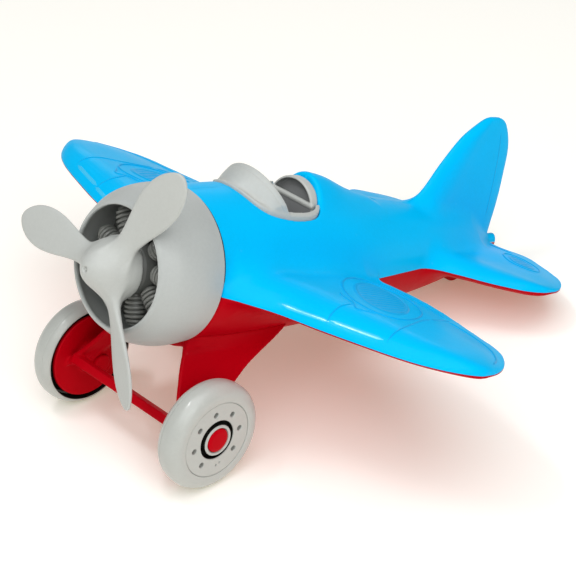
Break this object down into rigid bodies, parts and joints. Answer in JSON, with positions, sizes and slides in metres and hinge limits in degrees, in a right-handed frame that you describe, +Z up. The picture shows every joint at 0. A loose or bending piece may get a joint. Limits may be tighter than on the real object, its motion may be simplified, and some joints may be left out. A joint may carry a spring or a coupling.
{
  "type": "toy airplane",
  "caption": "Plastic low-wing toy propeller plane with rounded wings, radial engine in an open cowl, open cockpit with windshield, fixed wheels and a tail skid, two-tone shells",
  "frame": {"origin": "On the floor under the middle of the bounding box: the bottom of the two wheels and of the tail skid is z = 0", "axes": "+Z up, nose towards -Y and tail towards +Y, +X towards the pilot's left wing; the airplane stands on its two wheels and tail skid, nose up 18.8 degrees"},
  "size_m": [0.241, 0.2377, 0.1269],
  "materials": {
    "blue_shell": "glossy moulded cyan-blue plastic",
    "red_shell": "satin moulded deep red plastic",
    "grey_trim": "satin moulded light warm-grey plastic",
    "grey_wheel": "satin moulded light warm-grey plastic",
    "dark_trim": "satin moulded grey plastic, a little darker",
    "steel_pin": "plain turned steel"
  },
  "bodies": {
    "airframe": {"upper_shell": "blue_shell", "lower_shell": "red_shell", "landing_gear": "red_shell", "engine_cowl": "grey_trim", "engine_crankcase": "grey_trim", "engine_cylinders": "grey_trim", "windshield": "grey_trim", "cockpit_tub": "dark_trim", "pilot_seat": "dark_trim", "axle_pin_left": "red_shell", "axle_pin_right": "red_shell"},
    "propeller": {"propeller": "grey_trim", "propeller_shaft": "steel_pin", "shaft_retainer": "grey_trim"},
    "wheel_left": {"wheel_shell_left": "grey_wheel", "wheel_back_left": "grey_wheel", "hub_disc_left": "grey_wheel"},
    "wheel_right": {"wheel_shell_right": "grey_wheel", "wheel_back_right": "grey_wheel", "hub_disc_right": "grey_wheel"}
  },
  "joints": [
    {"name": "propeller_spin", "type": "hinge", "parent": "airframe", "child": "propeller", "pos_m": [0, -0.10312, 0.08292], "axis": [0, 0.9466, -0.3223], "continuous": true},
    {"name": "wheel_left_spin", "type": "hinge", "parent": "airframe", "child": "wheel_left", "pos_m": [0.0389, -0.09042, 0.0219], "axis": [1, 0, 0], "continuous": true},
    {"name": "wheel_right_spin", "type": "hinge", "parent": "airframe", "child": "wheel_right", "pos_m": [-0.0389, -0.09042, 0.0219], "axis": [1, 0, 0], "continuous": true}
  ]
}
